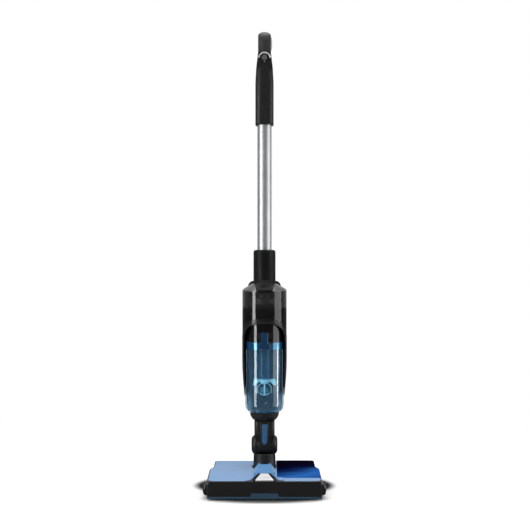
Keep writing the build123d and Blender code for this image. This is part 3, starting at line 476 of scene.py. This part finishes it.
# How the tank's small mouldings and painted highlight strips lie: in, out, up and round, with angles
# in degrees from the front
SEAT = 0.1 * MM
LATCH_GAP = 0.6 * MM
RIM_STAND = 0.5 * MM
RIM_HEIGHT = 18.2 * MM
RIM_DROP = 0.3 * MM
RIM_ANGLE = 82
SHEEN_STRIP_STAND = 0.35 * MM
SHEEN_STRIP_FOOT = 14 * MM
SHEEN_STRIP_DROP = 20 * MM
SHEEN_STRIP_ANGLE = 68
SHEEN_STRIP_SPREAD = 2.5
TICK_STAND = 0.15 * MM
TICK_THICK = 0.5 * MM
TICK_FOOT = 25 * MM
TICK_PITCH = 3 * MM
TICK_ANGLE = 2.0
TICK_ANGLE_PITCH = 3.0
TICK_SPREAD = 0.7


def on_tank(name, stand, heights, angles, steps=40):
    """A strip on the outside of the dirty tank, which it moves with."""
    radii = (bin_radius - SEAT, bin_radius + stand)
    strip = curved_strip(name, bin_centre, radii, heights, angles, steps)
    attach(strip, BODY_OF["dirty_tank_bin"])
    return strip


def tank_rim(side, label):
    """Glossy band round the rim on one side of the latch."""
    latch_angle = math.degrees(math.asin((latch_high.x + LATCH_GAP) / bin_radius))
    top = bin_high.z - RIM_DROP
    angles = (side * latch_angle, side * RIM_ANGLE)
    band = on_tank("tank_rim_" + label, RIM_STAND, (top - RIM_HEIGHT, top), angles)
    coat_with(band, rim_gloss("rim_gloss_" + label))


def tank_edge_sheen_strip(side, label):
    """Pale upright strip at one side edge of the tank, a painted edge highlight."""
    heights = (bin_low.z + SHEEN_STRIP_FOOT, bin_high.z - SHEEN_STRIP_DROP)
    angles = (side * SHEEN_STRIP_ANGLE, side * (SHEEN_STRIP_ANGLE + SHEEN_STRIP_SPREAD))
    sheen_strip = on_tank("tank_edge_sheen_strip_" + label, SHEEN_STRIP_STAND, heights, angles, 6)
    # The pale colour is a painted highlight along the tank's edge
    pale = moulded("painted_sheen_" + label, (0.62, 0.8, 0.88), 0.1, 0.2, 1200.0, 0.00001, 0.3)
    coat_with(sheen_strip, pale)


def level_ticks():
    """Level marks in rows of one, two and three."""
    for row in range(3):
        foot = bin_low.z + TICK_FOOT + row * TICK_PITCH
        for column in range(row + 1):
            start = TICK_ANGLE + column * TICK_ANGLE_PITCH
            name = "level_tick_%d_%d" % (row, column)
            angles = (start, start + TICK_SPREAD)
            tick = on_tank(name, TICK_STAND, (foot, foot + TICK_THICK), angles, 2)
            paint(tick, "baffle_white")


for side, label in ((-1, "left"), (1, "right")):
    tank_rim(side, label)
    tank_edge_sheen_strip(side, label)
level_ticks()

ARCH_HALF = 54.5 * MM
ARCH_CROWN = 423.6 * MM
ARCH_SPRING = 352.0 * MM
ARCH_FOOT = 320.0 * MM
ARCH_POWER = 3.5
ARCH_RIM_RADIUS = 1.4 * MM
ARCH_RIM_SEAT = 0.3 * MM


def arch_path(steps=48):
    """The line round the tank opening, lying on the body's front skin."""
    low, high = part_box("arch_frame")
    frame_radius = (high.x - low.x) / 2
    skin_radius = frame_radius - ARCH_RIM_SEAT
    centre_y = low.y + frame_radius
    flat = [(-ARCH_HALF, ARCH_FOOT)]
    for step in range(steps + 1):
        turn = math.pi * (1 - step / steps)
        across = math.copysign(abs(math.cos(turn)) ** (2 / ARCH_POWER), math.cos(turn))
        up = max(math.sin(turn), 0.0) ** (2 / ARCH_POWER)
        flat.append((ARCH_HALF * across, ARCH_SPRING + (ARCH_CROWN - ARCH_SPRING) * up))
    flat.append((ARCH_HALF, ARCH_FOOT))
    return [Vector((x, centre_y - math.sqrt(skin_radius ** 2 - x * x), z)) for x, z in flat]


def bent_rod(name, path, radius, sides=12):
    """A round bead following a path, closed at both ends."""
    build = bmesh.new()
    rings = []
    for index, place in enumerate(path):
        ahead = path[min(index + 1, len(path) - 1)] - path[max(index - 1, 0)]
        across = ahead.cross(Vector((0, 1, 0))).normalized()
        lift = across.cross(ahead).normalized()
        ring = []
        for side in range(sides):
            turn = 2 * math.pi * side / sides
            outward = math.cos(turn) * across + math.sin(turn) * lift
            ring.append(build.verts.new(place + radius * outward))
        rings.append(ring)
    for here, after in zip(rings, rings[1:]):
        for side in range(sides):
            beside = (side + 1) % sides
            face = build.faces.new((here[side], here[beside], after[beside], after[side]))
            face.smooth = True
    build.faces.new(rings[0][::-1])
    build.faces.new(rings[-1])
    bmesh.ops.recalc_face_normals(build, faces=build.faces)
    return finished_piece(name, build)


arch_bead = bent_rod("arch_bead", arch_path(), ARCH_RIM_RADIUS)
paint(arch_bead, "black_gloss")
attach(arch_bead, BODY_OF["arch_frame"])


CROWN_POWER = 2.2
CROWN_LIMIT = 0.995


def rounded_crown(node_name, name):
    """The node's own skin with its top drawn in to a dome, standing in for it."""
    source = NODES[node_name]
    low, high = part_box(node_name)
    half_width = (high.x - low.x) / 2
    middle = (high.x + low.x) / 2
    spring = high.z - half_width
    build = bmesh.new()
    build.from_mesh(source.data)
    for vert in build.verts:
        rise = (vert.co.z - spring) / half_width
        if rise > 0:
            room = (1 - min(rise, CROWN_LIMIT) ** CROWN_POWER) ** (1 / CROWN_POWER)
            vert.co.x = middle + (vert.co.x - middle) * room
    piece = finished_piece(name, build)
    paint(piece, SLOT_OF[node_name])
    weld_seams(piece)
    for face in piece.data.polygons:
        face.use_smooth = True
    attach(piece, BODY_OF[node_name])
    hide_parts(node_name)


rounded_crown("grip", "grip_skin")


# Stage

def area_light(name, place, aim, width, height, power):
    data = bpy.data.lights.new(name, "AREA")
    data.shape = "RECTANGLE"
    data.size = width
    data.size_y = height
    data.energy = power
    light = bpy.data.objects.new(name, data)
    light.location = place
    light.rotation_euler = (Vector(aim) - Vector(place)).to_track_quat("-Z", "Y").to_euler()
    bpy.context.scene.collection.objects.link(light)


def around(degrees, distance, height):
    """A place round the object: 0 degrees is the camera's side, positive to its right."""
    angle = math.radians(degrees)
    return (distance * math.sin(angle), -distance * math.cos(angle), height)


ROOM_LEVEL = 0.36
BACKDROP_GLOSS = 0.62


def make_world():
    """White to the camera, a dim room in reflections, and a bright wall high up behind the object."""
    world = bpy.data.worlds.new("studio")
    bpy.context.scene.world = world
    world.use_nodes = True
    made = Graph(world.node_tree)
    paths = made.node("ShaderNodeLightPath").outputs
    seen = made.maths("MAXIMUM", paths["Is Camera Ray"], paths["Is Transmission Ray"])
    level = made.fit(seen, 0.0, 1.0, ROOM_LEVEL, 1.0)
    direction = made.axes(made.node("ShaderNodeTexCoord").outputs["Generated"])
    behind = made.fit(direction["Y"], 0.7, 0.9, 0.0, BACKDROP_GLOSS)
    raised = made.fit(direction["Z"], 0.19, 0.225)
    background = made.tree.nodes["Background"]
    background.inputs["Color"].default_value = (1, 1, 1, 1)
    glow = made.maths("MAXIMUM", level, made.maths("MULTIPLY", behind, raised))
    made.link(glow, background.inputs["Strength"])


FLOOR_RADIUS = 9.0


def make_floor():
    build = bmesh.new()
    bmesh.ops.create_circle(build, cap_ends=True, segments=96, radius=FLOOR_RADIUS)
    floor = finished_piece("floor", build)
    floor.data.materials.append(floor_material())


# Painted soft contact shadows on the floor: centre y, half width, half depth, inner and outer reach,
# depth
SHADOWS = (
    (0.042, 0.182, 0.104, 0.9, 1.05, 1.0),
    (0.042, 0.182, 0.104, 0.9, 1.5, 0.18),
    (-0.088, 0.152, 0.04, 0.5, 1.2, 0.88),
    (-0.085, 0.19, 0.085, 0.3, 1.3, 0.2),
)


def shadow_share(made, centre_y, half_width, half_depth, inner, outer, depth):
    """1 away from an oval shadow, falling by its depth inside it."""
    oval = made.placed((1 / half_width, 1 / half_depth, 1), (0, -centre_y / half_depth, 0))
    return made.fit(made.length(oval), inner, outer, 1 - depth, 1.0, smooth=True)


def floor_material():
    """Pale paper with painted contact shadows that fades into the white background."""
    made = Shader("floor")
    made.set(Specular_IOR_Level=0.05)
    paper_tone = made.tones(made.noise(3.0), (0.86, 0.86, 0.86), (0.88, 0.88, 0.88))
    made.roughness(made.noise(5.0), 0.75, 0.85)
    shares = [shadow_share(made, *shadow) for shadow in SHADOWS]
    light = shares[0]
    for share in shares[1:]:
        light = made.maths("MULTIPLY", light, share)
    # Painted shadow: inside the ovals the floor's colour turns near black
    made.colour(made.blend(light, (0.008, 0.008, 0.009), paper_tone))
    white = made.node("ShaderNodeEmission")
    white.inputs["Strength"].default_value = 1.0
    fade = made.fit(made.length(made.place), 0.45, 1.3)
    paper = made.mixed(fade, made.shader.outputs[0], white.outputs[0])
    dim = made.node("ShaderNodeBsdfDiffuse")
    dim.inputs["Color"].default_value = (0.22, 0.22, 0.22, 1)
    to_camera = made.node("ShaderNodeLightPath").outputs["Is Camera Ray"]
    made.surface(made.mixed(to_camera, dim.outputs[0], paper))
    return made.material


CAMERA_PLACE = (1.3 * MM, -2.1, 0.57)
LENS_MM = 56.2
SENSOR_MM = 36.0


def make_camera():
    data = bpy.data.cameras.new("camera")
    data.sensor_width = SENSOR_MM
    data.lens = LENS_MM
    camera = bpy.data.objects.new("camera", data)
    camera.location = CAMERA_PLACE
    camera.rotation_euler = (math.radians(90), 0, 0)
    bpy.context.scene.collection.objects.link(camera)
    bpy.context.scene.camera = camera


def side_light(name, degrees, distance, middle, width, height, power):
    """An upright panel that faces the object level with its own middle."""
    area_light(name, around(degrees, distance, middle), (0, 0, middle), width, height, power)


make_camera()
make_world()
make_floor()
side_light("left_strip", -57, 0.95, 0.76, 0.27, 1.5, 12.5)
side_light("right_panel", 76, 1.0, 0.76, 0.79, 1.5, 10)
side_light("right_low_strip", 87, 0.9, 0.14, 0.08, 0.27, 1.5)
area_light("top_box", (0, 0.3, 3.2), (0, 0, 0), 3.0, 3.0, 95)
bpy.context.scene.view_settings.view_transform = "Standard"
